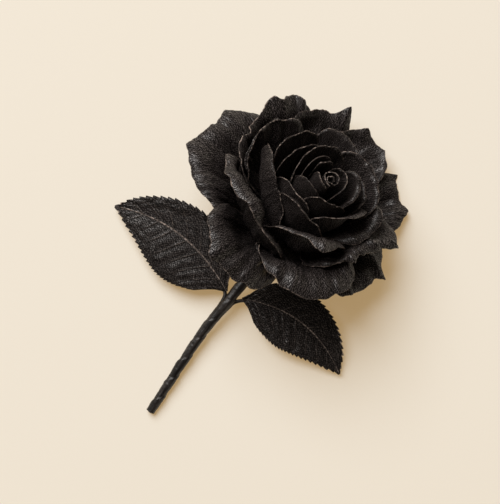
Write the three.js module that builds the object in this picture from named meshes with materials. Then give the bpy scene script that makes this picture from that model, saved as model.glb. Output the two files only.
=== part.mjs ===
// Crepe paper rose with a wired, tape-wrapped stem and two leaves, lying on its side on a table.
// Millimetres, +Z up, +Y along the stem towards the bloom, table at z = 0, origin under the middle.
import * as THREE from 'three';

// Paper and clearances
const PETAL_PAPER = 0.36;
const LEAF_PAPER = 0.4;
const CALYX_PAPER = 0.4;
const GLUE_GAP = 0.3;

// Bloom: where its foot stands over the table, how its axis leans, and how wide and tall it opens
const BLOOM_X = 5.5;
const BLOOM_Y = 26.97;
const BLOOM_TILT = 24;
const BLOOM_TURN = 8;
const BLOOM_SPREAD = 1;
const BLOOM_TALL = 1;

// Stem wire, which the centre roll is wound on
const WIRE_DIAMETER = 1.8;
const WIRE_IN_ROLL = 20;
const WIRE_END = 0.4;
const WIRE_SIDES = 6;

// Centre roll: one strip wound from the wire outwards
const ROLL_TURNS = 2.8;
const ROLL_GAP = 0.34;
const ROLL_FOOT = -3.7;
const ROLL_TOP = 45.6;
const ROLL_DIP = 1.6;
const ROLL_STEPS_A_TURN = 14;
const ROLL_INNER = WIRE_DIAMETER / 2 + GLUE_GAP + PETAL_PAPER / 2;
const ROLL_OUTER = ROLL_INNER + (PETAL_PAPER + ROLL_GAP) * ROLL_TURNS;

// Petal bases, gathered round the foot of the roll: first base, and the steps from layer to layer
const CLAW_GAP = 0.7;
const CLAW_RADIUS = ROLL_OUTER + CLAW_GAP + PETAL_PAPER;
const CLAW_STEP = PETAL_PAPER + ROLL_GAP;
const CLAW_HEIGHT = 2;
const CLAW_DROP = 0.55;
const CLAW_LOWEST = -2.35;
const CLAW_SHARE = 0.62;
// Share of the way from base to rim at which a petal has opened to its full span
const CLAW_OPENS = 0.8;
// Angle above the horizontal at which a petal leaves its base, by layer
const CLAW_ANGLE = [89, 87, 82, 72, 58, 42, 27, 14, 6];
// Length of a petal's two bending handles, as a share of the way from base to rim
const PETAL_BOW = 0.45;
// Radius of the first base about which the reaches of the petals are set out
const LAYOUT_RADIUS = 4.4;
// How sharply the two ends of a petal are rounded, the rounding at which its lip has run out there, and
// the shortest lip
const END_POWER = 6;
const LIP_END = 0.3;
const LIP_LEAST = 0.15;

// Tape wound round the stem from its cut end to the neck
const TAPE_END_RADIUS = 1.65;
const TAPE_NECK_RADIUS = 2.4;
const TAPE_PITCH = 10;
const TAPE_RIDGE = 0.22;

// Calyx: one star-shaped cut with five sepals
const SEPALS = 5;
const SEPAL_REACH = 19;
const SEPAL_NOTCH = 10.6;
const CALYX_CLEAR = 0.58;
const CALYX_BORE = TAPE_NECK_RADIUS + TAPE_RIDGE + CALYX_CLEAR;
const CALYX_DISH = 1.3;
const CALYX_SLOPE = 0.12;
const CALYX_DROP = 3.2;
const CALYX_RINGS = 5;
const SEPAL_STEPS = 8;

// Stem route
const NECK_LENGTH = 5.4;
const NECK_BEND = 3.2;
// How far before the bend the run lies in line with it, in lengths of the bend
const BEND_APPROACH = 4;
// Share of each side of the bend at which its handles stand
const BEND_HANDLE = 0.6;
const STEM_RUN = 101;
// Stations of the stem: distance behind the bloom's foot, sideways shift, height of the axis
const STEM_NODE = { back: 40, side: -2.6, up: 6.2 };
const STEM_MIDDLE = { back: 60, side: -4.1, up: 4.6 };
const STEM_END_SIDE = -3.1;

// Leaves: blade, teeth and wire. stand is the clear way from the leaf's wire to the blade's first point.
const LEAF_TEETH = 13;
const TOOTH_DEPTH = 0.09;
const TOOTH_LEAN = 0.75;
const LEAF_ROOT = 0.02;
const LEAF_TIP = 0.985;
const LEAF_LEAST_HALF = 0.6;
// Powers that set a blade's widest place towards its root and round its sides
const BLADE_SKEW = 0.82;
const BLADE_FULLNESS = 0.85;
const LEAF_WIRE_DIAMETER = 0.9;
const LEAF_WIRE_CLEAR = 0.2;
const LEAF_WIRE_LAP = 7;
const LEAF_WIRE_STEP = 2.6;
// Places along the blade where its wire is glued under it
const LEAF_WIRE_SHARES = [0.06, 0.2, 0.4, 0.72];
const LEAVES = [
  {
    name: 'leaf_left', side: -1, length: 58, width: 28, bow: 4.2, stand: 0.58, heading: 2.5,
    fold: 11, rise: [5.6, 6.4, 3.2], colour: 0x2b2624,
  },
  {
    name: 'leaf_right', side: 1, length: 51, width: 25, bow: 9.4, stand: 1.38, heading: -2.6,
    fold: 20, rise: [5.6, 5.4, 2.6], colour: 0x1f1b19,
  },
];

const PETAL_COLOUR = 0x151211;
const STEM_COLOUR = 0x2a2523;
const WIRE_COLOUR = 0x8a827a;

// Petals from the heart outwards. span: degrees round the bloom. reach and rise: radius and height of
// the rim, evenly spaced from the low side of the span to the high side. lean: angle of the paper at the
// rim, over 90 leans inwards. lip: length of the paper that rolls outwards past the rim. roll: how far it
// turns. layer: place in the stack of bases. ends: how far the two ends are rounded off.
// points: corners of the rim as [place, half width, length].
const PETALS = [
  { name: 'wrap_a', span: [180, 300], reach: [6.4, 4.9, 4.2], rise: [45, 46, 44], lean: [88, 94, 90],
    lip: [0.2, 0.2, 0.2], roll: 60, layer: 0, ends: [0.2, 0.2] },
  { name: 'wrap_b', span: [-45, 135], reach: [6, 5.6, 4.8], rise: [42, 45, 45], lean: [92, 88, 90],
    lip: [0.2, 0.4, 0.2], roll: 60, layer: 0, ends: [0.2, 0.2] },
  { name: 'wrap_c', span: [116, 190], reach: [6, 7, 8], rise: [44, 45, 43], lean: [86, 86, 88],
    lip: [0.2, 0.4, 0.2], roll: 60, layer: 0.5, ends: [0.2, 0.2] },
  { name: 'heart_left', span: [200, 290], reach: [12, 8.4, 6.8], rise: [43, 43, 40], lean: [95, 102, 96],
    lip: [0.3, 0.5, 0.3], roll: 60, layer: 1, ends: [0.3, 0.3] },
  { name: 'heart_right', span: [-22, 92], reach: [9.8, 10.4, 7], rise: [39, 42.5, 43.5],
    lean: [90, 84, 88], lip: [0.6, 2.4, 0.3], roll: 110, layer: 1, ends: [0.3, 0.3] },
  { name: 'heart_top', span: [110, 208], reach: [7.6, 9.6, 10.8], rise: [42, 44, 42], lean: [84, 84, 88],
    lip: [0.3, 0.5, 0.3], roll: 60, layer: 1.2, ends: [0.3, 0.3] },
  { name: 'inner_front', span: [244, 372], reach: [9.8, 8.8, 13], rise: [41, 41.5, 35],
    lean: [100, 102, 92], lip: [0.5, 0.8, 0.5], roll: 70, layer: 1.7, ends: [0.4, 0.4] },
  { name: 'inner_top', span: [80, 228], reach: [15.2, 13.6, 13.6], rise: [37.5, 42.5, 36],
    lean: [80, 82, 90], lip: [0.4, 0.6, 0.4], roll: 60, layer: 2, ends: [0.4, 0.4] },
  { name: 'inner_right', span: [0, 74], reach: [15.2, 15.6, 14.4], rise: [34, 36, 37],
    lean: [84, 70, 74], lip: [1, 1.4, 1], roll: 80, layer: 2.3, ends: [0.4, 0.4] },
  { name: 'inner_left', span: [200, 294], reach: [19.2, 13.4, 12.4], rise: [36, 40, 35],
    lean: [88, 102, 98], lip: [0.6, 1.2, 0.6], roll: 80, layer: 2.4, ends: [0.4, 0.4] },
  { name: 'mid_front', span: [272, 388], reach: [14.4, 13.6, 18.4], rise: [37, 38, 33],
    lean: [102, 100, 76], lip: [0.8, 1.4, 5], roll: 100, layer: 2.9, ends: [0.4, 0.15] },
  { name: 'mid_back', span: [125, 206], reach: [16.8, 16.8, 21], rise: [36, 39.5, 36],
    lean: [80, 82, 86], lip: [0.4, 0.5, 0.4], roll: 60, layer: 3, ends: [0.4, 0.4] },
  { name: 'mid_left', span: [220, 326], reach: [17.6, 15.8, 18.8], rise: [35, 39, 28],
    lean: [90, 97, 96], lip: [0.8, 1.4, 0.8], roll: 90, layer: 3.4, ends: [0.4, 0.4] },
  { name: 'mid_right', span: [10, 118], reach: [21.4, 22.6, 17], rise: [29, 31, 34.5],
    lean: [48, 46, 70], lip: [1.6, 2, 0.8], roll: 70, layer: 3.4, ends: [0.3, 0.4] },
  { name: 'mid_back_outer', span: [122, 206], reach: [23.4, 23.2, 22.4], rise: [32, 36.5, 36],
    lean: [72, 76, 84], lip: [0.6, 0.6, 0.4], roll: 60, layer: 3.8, ends: [0.45, 0.4] },
  { name: 'low_right', span: [-30, 46], reach: [18.2, 22.4, 24], rise: [24.5, 26, 28],
    lean: [50, 40, 46], lip: [0.8, 5, 2.4], roll: 70, layer: 3.9, ends: [0.3, 0.3] },
  { name: 'tongue', span: [183, 268], reach: [25.4, 18.6, 17.6], rise: [38, 34, 22], lean: [92, 98, 92],
    lip: [1.2, 0.6, 0.6], roll: 90, layer: 4.2, ends: [0.12, 0.3] },
  { name: 'mid_right_outer', span: [76, 138], reach: [23, 26, 25.4], rise: [29.5, 29.5, 31],
    lean: [52, 48, 70], lip: [1, 2, 1], roll: 80, layer: 4.2, ends: [0.4, 0.4] },
  { name: 'low_front', span: [252, 347], reach: [25.8, 22.6, 21.8, 21.8, 22.4],
    rise: [31, 34, 34.5, 31.5, 26], lean: [90, 98, 101, 99, 92], lip: [0.8, 1.4, 3, 4, 2], roll: 125,
    layer: 4.4, ends: [0.3, 0.3], points: [[0.12, 0.42, 5.5]] },
  { name: 'back_left', span: [130, 216], reach: [30, 32.6, 26.4], rise: [24, 30, 24], lean: [60, 66, 74],
    lip: [0.8, 0.8, 0.5], roll: 60, layer: 5.2, ends: [0.35, 0.4] },
  { name: 'guard_right_low', span: [-54, 36], reach: [28.6, 26.8, 25.6, 30.5, 37],
    rise: [24, 26, 25.6, 21.5, 15.5], lean: [76, 70, 64, 48, 34], lip: [2, 3.4, 5, 6, 5], roll: 125,
    layer: 5.8, ends: [0.3, 0.15], points: [[0.58, 0.26, 5], [-0.25, 0.16, 2.2]] },
  { name: 'guard_right_top', span: [58, 114], reach: [31.5, 38.6, 31], rise: [15, 15.2, 19.4],
    lean: [44, 44, 52], lip: [2, 4, 2], roll: 45, layer: 5.4, ends: [0.25, 0.25],
    points: [[0.3, 0.25, 2], [-0.25, 0.2, 1.5]] },
  { name: 'guard_top_right', span: [90, 150], reach: [34.8, 37.2, 31], rise: [12, 16, 22],
    lean: [52, 58, 64], lip: [2, 4, 2], roll: 40, layer: 5.9, ends: [0.25, 0.25],
    points: [[-0.38, 0.3, 6]] },
  { name: 'guard_right', span: [26, 78], reach: [37, 40.5, 37], rise: [10, 6.5, 9], lean: [8, 10, 20],
    lip: [2, 4, 2], roll: 40, layer: 6.4, ends: [0.25, 0.25],
    points: [[-0.2, 0.25, 2.4], [0.56, 0.28, 4.5]] },
  { name: 'guard_top', span: [120, 220], reach: [36.8, 35, 28.4], rise: [12.6, 21.4, 29],
    lean: [56, 62, 72], lip: [3.5, 4, 2.5], roll: 45, layer: 6.35, ends: [0.25, 0.3],
    points: [[-0.72, 0.24, 9.5], [-0.36, 0.3, 8]] },
  { name: 'left_lip', span: [201, 288], reach: [34.8, 31.4, 28.6, 28, 28.4],
    rise: [29.5, 33.6, 34.8, 31, 24], lean: [70, 84, 95, 94, 82], lip: [8, 9.5, 7, 3.8, 2.4], roll: 125,
    layer: 6.65, ends: [0.06, 0.3] },
  { name: 'guard_front', span: [262, 349], reach: [33, 32.4, 31.2, 30, 29],
    rise: [23.6, 23, 22.6, 21.2, 19.2], lean: [62, 62, 60, 56, 50], lip: [2, 9, 16.5, 14, 8], roll: 165,
    layer: 7.1, ends: [0.15, 0.2] },
  { name: 'guard_front_right', span: [326, 390], reach: [35, 35, 31], rise: [9, 9.3, 6.5],
    lean: [4, 4, 6], lip: [3, 6, 4], roll: 50, layer: 7.7, ends: [0.2, 0.2], points: [[0.22, 0.18, 4]] },
  { name: 'guard_left_low', span: [227, 293], reach: [39.5, 38, 36], rise: [25, 23.5, 13],
    lean: [56, 50, 20], lip: [4, 10.5, 4], roll: 130, layer: 7.7, ends: [0.2, 0.2],
    points: [[-0.2, 0.15, 2]] },
  { name: 'guard_left', span: [148, 239], reach: [40, 45, 37.5], rise: [12, 15, 20], lean: [22, 28, 54],
    lip: [2.5, 5, 2], roll: 35, layer: 8, ends: [0.25, 0.25],
    points: [[-0.86, 0.3, 3.5], [-0.5, 0.18, 3], [0.1, 0.3, 3.2]] },
];

// Mesh fineness
const PETAL_STEP_DEGREES = 12;
const PETAL_LEAST_STEPS = 7;
const PETAL_RISE_STEPS = 6;
const PETAL_LIP_STEPS = 2;
const TAPE_SIDES = 8;
const TAPE_STEP = 2.5;
// Step of the search along the stem for the place of the leaves
const NODE_SEEK = 0.002;

const radians = THREE.MathUtils.degToRad;

// The smooth curve through evenly spaced values over s from -1 to 1, sloped at each value as its neighbours
function through(values, s) {
  const last = values.length - 1;
  const slope = (k) => {
    if (k === 0) return (4 * values[1] - 3 * values[0] - values[2]) / 2;
    if (k === last) return (3 * values[last] - 4 * values[last - 1] + values[last - 2]) / 2;
    return (values[k + 1] - values[k - 1]) / 2;
  };
  const place = ((s + 1) / 2) * last;
  const k = Math.min(Math.max(Math.floor(place), 0), last - 1);
  const f = place - k;
  const held = values[k] * (1 + 2 * f) * (1 - f) ** 2 + values[k + 1] * f ** 2 * (3 - 2 * f);
  return held + slope(k) * f * (1 - f) ** 2 - slope(k + 1) * f ** 2 * (1 - f);
}

function paperMaterial(colour) {
  return new THREE.MeshStandardMaterial({ color: colour, roughness: 0.85, metalness: 0 });
}

// A closed sheet of even thickness about the surface pointAt(i, j), with rows x columns points.
// A ring joins its last row to its first.
function sheetGeometry(pointAt, rows, columns, thickness, ring = false) {
  const points = [];
  for (let i = 0; i < rows; i += 1) {
    points.push(Array.from({ length: columns }, (_, j) => pointAt(i, j)));
  }
  const rowAt = (i) => (ring ? points[(i + rows) % rows] : points[Math.min(Math.max(i, 0), rows - 1)]);
  const positions = [];
  for (const face of [0.5, -0.5]) {
    for (let i = 0; i < rows; i += 1) {
      for (let j = 0; j < columns; j += 1) {
        const along = rowAt(i + 1)[j].clone().sub(rowAt(i - 1)[j]);
        const across = points[i][Math.min(j + 1, columns - 1)].clone().sub(points[i][Math.max(j - 1, 0)]);
        const normal = along.cross(across).normalize();
        const point = points[i][j].clone().addScaledVector(normal, face * thickness);
        positions.push(point.x, point.y, point.z);
      }
    }
  }
  const back = rows * columns;
  const at = (i, j) => (i % rows) * columns + j;
  const index = [];
  const quad = (a, b, c, d) => index.push(a, b, c, a, c, d);
  const lastRow = ring ? rows : rows - 1;
  for (let i = 0; i < lastRow; i += 1) {
    for (let j = 0; j < columns - 1; j += 1) {
      quad(at(i, j), at(i + 1, j), at(i + 1, j + 1), at(i, j + 1));
      quad(back + at(i, j), back + at(i, j + 1), back + at(i + 1, j + 1), back + at(i + 1, j));
    }
    quad(at(i + 1, 0), at(i, 0), back + at(i, 0), back + at(i + 1, 0));
    const edge = columns - 1;
    quad(at(i, edge), at(i + 1, edge), back + at(i + 1, edge), back + at(i, edge));
  }
  if (!ring) {
    for (let j = 0; j < columns - 1; j += 1) {
      quad(at(0, j), at(0, j + 1), back + at(0, j + 1), back + at(0, j));
      const end = rows - 1;
      quad(at(end, j + 1), at(end, j), back + at(end, j), back + at(end, j + 1));
    }
  }
  const geometry = new THREE.BufferGeometry();
  geometry.setAttribute('position', new THREE.Float32BufferAttribute(positions, 3));
  geometry.setIndex(index);
  geometry.computeVertexNormals();
  return geometry;
}

function namedMesh(name, geometry, colour) {
  const mesh = new THREE.Mesh(geometry, paperMaterial(colour));
  mesh.name = name;
  return mesh;
}

// A point of the bloom from its radius, its angle and its height along the bloom's axis
function bloomPoint(radius, angle, height) {
  return new THREE.Vector3(radius * Math.cos(angle), radius * Math.sin(angle), height);
}

function clawAngle(layer) {
  const step = Math.min(Math.floor(layer), CLAW_ANGLE.length - 2);
  return THREE.MathUtils.lerp(CLAW_ANGLE[step], CLAW_ANGLE[step + 1], layer - step);
}

// A point of a petal's profile, opened out from the first base by the bloom's spread and height
function openedPoint(profile, angle) {
  const radius = CLAW_RADIUS + (profile.x - LAYOUT_RADIUS) * BLOOM_SPREAD;
  return bloomPoint(radius, angle, openedHeight(profile.y));
}

function openedHeight(height) {
  return CLAW_LOWEST + (height - CLAW_LOWEST) * BLOOM_TALL;
}

// Length of the lip at s: rolled paper that runs out at rounded ends, and the corners of the rim
function lipLength(petal, s, rounding) {
  const corners = (petal.points ?? []).map(
    ([place, width, length]) => length * Math.max(0, 1 - Math.abs(s - place) / width));
  const left = 1 - Math.min(1, rounding / LIP_END) * Math.abs(s) ** END_POWER;
  const lip = through(petal.lip, s) * left + corners.reduce((sum, length) => sum + length, 0);
  return Math.max(lip, LIP_LEAST);
}

// A petal in its own half-plane: a cubic bend from the base up to the rim, then a round lip.
// s runs over the span from -1 to 1; t from 0 at the base to 1 at the rim and 2 at the edge of the lip.
function petalPoint(petal, s, t) {
  const base = new THREE.Vector2(
    LAYOUT_RADIUS + CLAW_STEP * petal.layer, CLAW_HEIGHT - CLAW_DROP * petal.layer);
  const rim = new THREE.Vector2(through(petal.reach, s), through(petal.rise, s));
  const start = radians(clawAngle(petal.layer));
  const lean = radians(through(petal.lean, s));
  const handle = PETAL_BOW * base.distanceTo(rim);
  const profile = new THREE.CubicBezierCurve(
    base,
    new THREE.Vector2(base.x + handle * Math.cos(start), base.y + handle * Math.sin(start)),
    new THREE.Vector2(rim.x - handle * Math.cos(lean), rim.y - handle * Math.sin(lean)),
    rim);
  const rounding = petal.ends[s < 0 ? 0 : 1];
  const point = profile.getPoint(Math.min(t, 1) * (1 - rounding * Math.abs(s) ** END_POWER));
  if (t > 1) {
    const lip = lipLength(petal, s, rounding);
    const turn = radians(petal.roll);
    const turned = lean - turn * (t - 1);
    point.x += (lip / turn) * (Math.sin(lean) - Math.sin(turned));
    point.y += (lip / turn) * (Math.cos(turned) - Math.cos(lean));
  }
  const widen = Math.sin((Math.PI / 2) * Math.min(t / CLAW_OPENS, 1));
  const middle = (petal.span[0] + petal.span[1]) / 2;
  const half = (petal.span[1] - petal.span[0]) / 2;
  const angle = middle + half * s * (CLAW_SHARE + (1 - CLAW_SHARE) * widen);
  return openedPoint(point, radians(angle));
}

function petalMesh(petal) {
  const steps = Math.round((petal.span[1] - petal.span[0]) / PETAL_STEP_DEGREES);
  const rows = Math.max(PETAL_LEAST_STEPS, steps) + 1;
  const columns = PETAL_RISE_STEPS + PETAL_LIP_STEPS + 1;
  const station = (j) => (
    j <= PETAL_RISE_STEPS ? j / PETAL_RISE_STEPS : 1 + (j - PETAL_RISE_STEPS) / PETAL_LIP_STEPS);
  const pointAt = (i, j) => petalPoint(petal, (2 * i) / (rows - 1) - 1, station(j));
  return namedMesh(petal.name, sheetGeometry(pointAt, rows, columns, PETAL_PAPER), PETAL_COLOUR);
}

// The wound strip: a spiral that clears the wire, dipping towards the middle at its top
function rollMesh() {
  const rows = Math.round(ROLL_TURNS * ROLL_STEPS_A_TURN) + 1;
  const pointAt = (i, j) => {
    const wound = i / (rows - 1);
    const radius = THREE.MathUtils.lerp(ROLL_INNER, ROLL_OUTER, wound);
    const top = openedHeight(ROLL_TOP) - ROLL_DIP * (1 - wound);
    return bloomPoint(radius, 2 * Math.PI * ROLL_TURNS * wound, j === 0 ? ROLL_FOOT : top);
  };
  return namedMesh('centre_roll', sheetGeometry(pointAt, rows, 2, PETAL_PAPER), PETAL_COLOUR);
}

// The star-shaped calyx, a shallow dish with a bore for the stem and five pointed sepals
function calyxMesh() {
  const rows = SEPALS * SEPAL_STEPS;
  const columns = CALYX_RINGS;
  const pointAt = (i, j) => {
    const place = (i * SEPALS) / rows;
    const tip = Math.abs(2 * (place - Math.floor(place)) - 1);
    const reach = THREE.MathUtils.lerp(SEPAL_NOTCH, SEPAL_REACH, tip * tip * tip);
    const radius = THREE.MathUtils.lerp(CALYX_BORE, reach, j / (columns - 1));
    const dish = CALYX_DISH * Math.max(0, 1 - (radius - CALYX_BORE) / (SEPAL_NOTCH - CALYX_BORE));
    const height = -CALYX_DROP - dish + CALYX_SLOPE * Math.max(0, radius - SEPAL_NOTCH);
    return bloomPoint(radius, (2 * Math.PI * i) / rows, height);
  };
  return namedMesh('calyx', sheetGeometry(pointAt, rows, columns, CALYX_PAPER, true), STEM_COLOUR);
}

// The bloom, leaned over until its lowest petal touches the table
function makeBloom() {
  const bloom = new THREE.Group();
  bloom.rotation.set(-radians(BLOOM_TILT), 0, -radians(BLOOM_TURN), 'ZXY');
  bloom.add(rollMesh(), ...PETALS.map(petalMesh), calyxMesh());
  bloom.position.set(BLOOM_X, BLOOM_Y, 0);
  bloom.updateMatrixWorld(true);
  bloom.position.z = -new THREE.Box3().setFromObject(bloom, true).min.z;
  bloom.updateMatrixWorld(true);
  return bloom;
}

// The stem's route: a gentle run over the table, a bend under the calyx, and the neck into the roll
function stemRoute(bloom) {
  const axis = new THREE.Vector3(0, 0, 1).applyQuaternion(bloom.quaternion);
  const foot = bloom.position;
  const neck = foot.clone().addScaledVector(axis, -NECK_LENGTH);
  const corner = neck.clone().addScaledVector(axis, -NECK_BEND);
  const station = ({ back, side, up }) => new THREE.Vector3(foot.x + side, foot.y - back, up);
  const end = station({ back: STEM_RUN, side: STEM_END_SIDE, up: TAPE_END_RADIUS + TAPE_RIDGE });
  const inward = corner.clone().sub(station(STEM_NODE)).normalize();
  const bendStart = corner.clone().addScaledVector(inward, -NECK_BEND);
  const beforeBend = bendStart.clone().addScaledVector(inward, -BEND_APPROACH * NECK_BEND);
  const run = new THREE.CatmullRomCurve3(
    [end, station(STEM_MIDDLE), station(STEM_NODE), beforeBend, bendStart], false, 'centripetal');
  const bend = new THREE.CubicBezierCurve3(
    bendStart, bendStart.clone().lerp(corner, BEND_HANDLE), neck.clone().lerp(corner, BEND_HANDLE), neck);
  const straight = new THREE.LineCurve3(neck, foot.clone().addScaledVector(axis, WIRE_IN_ROLL));
  return { run, bend, straight };
}

function joinCurves(...curves) {
  const path = new THREE.CurvePath();
  curves.forEach((curve) => path.add(curve));
  return path;
}

function roundSection(diameter, sides) {
  const corner = (k) => {
    const angle = (2 * Math.PI * k) / sides;
    return new THREE.Vector2(Math.cos(angle), Math.sin(angle)).multiplyScalar(diameter / 2);
  };
  return new THREE.Shape(Array.from({ length: sides }, (_, k) => corner(k)));
}

function wireGeometry(path, diameter, step, sides) {
  const steps = Math.round(path.getLength() / step);
  return new THREE.ExtrudeGeometry(
    roundSection(diameter, sides), { steps, extrudePath: path, bevelEnabled: false });
}

// The tape: a tube open at both ends, its outside stepped by the overlap of each winding turn
function tapeGeometry(path, length) {
  const steps = Math.round(length / TAPE_STEP);
  const frames = path.computeFrenetFrames(steps, false);
  const bore = WIRE_DIAMETER / 2 + GLUE_GAP;
  const ringPoint = (i, k, radius) => {
    const angle = (2 * Math.PI * k) / TAPE_SIDES;
    return path.getPointAt(i / steps)
      .addScaledVector(frames.normals[i], radius * Math.cos(angle))
      .addScaledVector(frames.binormals[i], radius * Math.sin(angle));
  };
  const positions = [];
  for (const outside of [true, false]) {
    for (let i = 0; i <= steps; i += 1) {
      for (let k = 0; k < TAPE_SIDES; k += 1) {
        const share = i / steps;
        const wind = (share * length) / TAPE_PITCH - k / TAPE_SIDES;
        const ridge = TAPE_RIDGE * (wind - Math.floor(wind));
        const wall = THREE.MathUtils.lerp(TAPE_END_RADIUS, TAPE_NECK_RADIUS, share) + ridge;
        positions.push(...ringPoint(i, k, outside ? wall : bore).toArray());
      }
    }
  }
  const inside = (steps + 1) * TAPE_SIDES;
  const at = (i, k) => i * TAPE_SIDES + (k % TAPE_SIDES);
  const index = [];
  const quad = (a, b, c, d) => index.push(a, b, c, a, c, d);
  for (let k = 0; k < TAPE_SIDES; k += 1) {
    for (let i = 0; i < steps; i += 1) {
      quad(at(i, k), at(i, k + 1), at(i + 1, k + 1), at(i + 1, k));
      quad(inside + at(i, k), inside + at(i + 1, k), inside + at(i + 1, k + 1), inside + at(i, k + 1));
    }
    quad(at(0, k), inside + at(0, k), inside + at(0, k + 1), at(0, k + 1));
    quad(at(steps, k), at(steps, k + 1), inside + at(steps, k + 1), inside + at(steps, k));
  }
  const geometry = new THREE.BufferGeometry();
  geometry.setAttribute('position', new THREE.Float32BufferAttribute(positions, 3));
  geometry.setIndex(index);
  geometry.computeVertexNormals();
  return geometry;
}

function makeStem({ run, bend, straight }) {
  const end = run.getPointAt(0);
  const wireStart = new THREE.LineCurve3(end.clone().addScaledVector(run.getTangentAt(0), -WIRE_END), end);
  const wirePath = joinCurves(wireStart, run, bend, straight);
  const tapePath = joinCurves(run, bend);
  return [
    namedMesh('stem_wire', wireGeometry(wirePath, WIRE_DIAMETER, TAPE_STEP, WIRE_SIDES), WIRE_COLOUR),
    namedMesh('stem_tape', tapeGeometry(tapePath, tapePath.getLength()), STEM_COLOUR),
  ];
}

// How far a leaf's wire lies beside the stem's axis
function wireBeside() {
  return TAPE_NECK_RADIUS + TAPE_RIDGE + GLUE_GAP + LEAF_WIRE_DIAMETER / 2;
}

// A leaf's middle line: from beside the stem node, bowed towards the bloom, down to its tip
function leafLine(leaf, node) {
  const root = wireBeside() + LEAF_WIRE_DIAMETER / 2 + leaf.stand;
  const base = new THREE.Vector3(node.x + leaf.side * root, node.y, leaf.rise[0]);
  const tip = new THREE.Vector3(base.x + leaf.side * leaf.length, node.y + leaf.heading, leaf.rise[2]);
  const middle = base.clone().lerp(tip, 0.5).setZ(leaf.rise[1]);
  middle.y += leaf.bow;
  return new THREE.CatmullRomCurve3([base, middle, tip]);
}

// Half width of a blade at the share u of its length: broad below the middle, drawn out to the tip
function bladeHalfWidth(leaf, u) {
  return (leaf.width / 2) * Math.sin(Math.PI * u ** BLADE_SKEW) ** BLADE_FULLNESS;
}

function leafMesh(leaf, line) {
  const rows = 2 * LEAF_TEETH + 2;
  const across = [-1, -0.5, 0, 0.5, 1];
  const pointAt = (i, j) => {
    const tooth = Math.floor(i / 2);
    const share = (tooth + (i % 2) * TOOTH_LEAN) / LEAF_TEETH;
    const u = THREE.MathUtils.lerp(LEAF_ROOT, LEAF_TIP, Math.min(share, 1));
    const cut = i % 2 === 0 && i > 0 ? 1 - TOOTH_DEPTH : 1;
    const half = Math.max(bladeHalfWidth(leaf, u), LEAF_LEAST_HALF) * (Math.abs(across[j]) === 1 ? cut : 1);
    const tangent = line.getTangentAt(u);
    const sideways = new THREE.Vector3(-tangent.y, tangent.x, 0).normalize();
    const out = Math.abs(across[j]) * half;
    return line.getPointAt(u)
      .addScaledVector(sideways, Math.sign(across[j]) * out * Math.cos(radians(leaf.fold)))
      .add(new THREE.Vector3(0, 0, out * Math.sin(radians(leaf.fold))));
  };
  return namedMesh(leaf.name, sheetGeometry(pointAt, rows, across.length, LEAF_PAPER), leaf.colour);
}

// The leaf's wire: laid along the stem, turned out under the blade and glued below its middle line
function leafWireMesh(leaf, line, run, nodeShare) {
  const below = LEAF_PAPER / 2 + GLUE_GAP + LEAF_WIRE_DIAMETER / 2 + LEAF_WIRE_CLEAR;
  const alongStem = (back) => {
    const share = nodeShare - back / run.getLength();
    const tangent = run.getTangentAt(share);
    const sideways = new THREE.Vector3(tangent.y, -tangent.x, 0).normalize();
    return run.getPointAt(share).addScaledVector(sideways, leaf.side * wireBeside());
  };
  const underBlade = (u) => line.getPointAt(u).add(new THREE.Vector3(0, 0, -below));
  const route = new THREE.CatmullRomCurve3([
    alongStem(LEAF_WIRE_LAP), alongStem(LEAF_WIRE_LAP / 2),
    ...LEAF_WIRE_SHARES.map(underBlade)]);
  const wire = wireGeometry(route, LEAF_WIRE_DIAMETER, LEAF_WIRE_STEP, WIRE_SIDES);
  return namedMesh(`${leaf.name}_wire`, wire, STEM_COLOUR);
}

function makeLeaves({ run }, foot) {
  const nodeY = foot.y - STEM_NODE.back;
  let nodeShare = 0;
  while (run.getPointAt(nodeShare).y < nodeY) nodeShare += NODE_SEEK;
  const node = run.getPointAt(nodeShare);
  return LEAVES.flatMap((leaf) => {
    const line = leafLine(leaf, node);
    return [leafMesh(leaf, line), leafWireMesh(leaf, line, run, nodeShare)];
  });
}

const bloom = makeBloom();
const route = stemRoute(bloom);
const rose = new THREE.Group();
rose.add(bloom, ...makeStem(route), ...makeLeaves(route, bloom.position));

export default rose;
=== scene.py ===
"""Crepe paper rose: petals, centre roll, calyx, taped stem and two leaves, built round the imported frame."""

import math
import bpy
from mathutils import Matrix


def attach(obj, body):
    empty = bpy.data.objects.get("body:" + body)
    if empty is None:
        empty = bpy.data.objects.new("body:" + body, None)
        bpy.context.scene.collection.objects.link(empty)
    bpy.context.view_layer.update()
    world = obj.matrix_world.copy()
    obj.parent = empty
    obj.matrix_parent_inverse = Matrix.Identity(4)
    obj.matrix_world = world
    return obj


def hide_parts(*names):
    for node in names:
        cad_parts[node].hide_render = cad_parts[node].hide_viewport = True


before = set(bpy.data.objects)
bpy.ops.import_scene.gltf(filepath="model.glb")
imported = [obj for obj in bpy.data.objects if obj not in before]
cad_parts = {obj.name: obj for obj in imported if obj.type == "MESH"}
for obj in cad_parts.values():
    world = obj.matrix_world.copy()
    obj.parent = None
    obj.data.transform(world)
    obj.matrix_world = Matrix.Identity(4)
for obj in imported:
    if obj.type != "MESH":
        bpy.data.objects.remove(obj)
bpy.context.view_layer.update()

from types import SimpleNamespace

import bpy
import numpy as np
from bpy.props import FloatProperty, FloatVectorProperty, PointerProperty
from bpy.types import Operator, Panel, PropertyGroup
from mathutils import Matrix, Vector

bl_info = {
    "name": "Crepe Paper Rose",
    "version": (1, 0, 0),
    "blender": (4, 5, 0),
    "location": "View3D > Sidebar > Rose",
    "description": "Builds a crepe paper rose with a taped stem and two leaves",
    "category": "Add Mesh",
}

SEEN_RAYS = ("Is Camera Ray", "Is Glossy Ray", "Is Transmission Ray")

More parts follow.
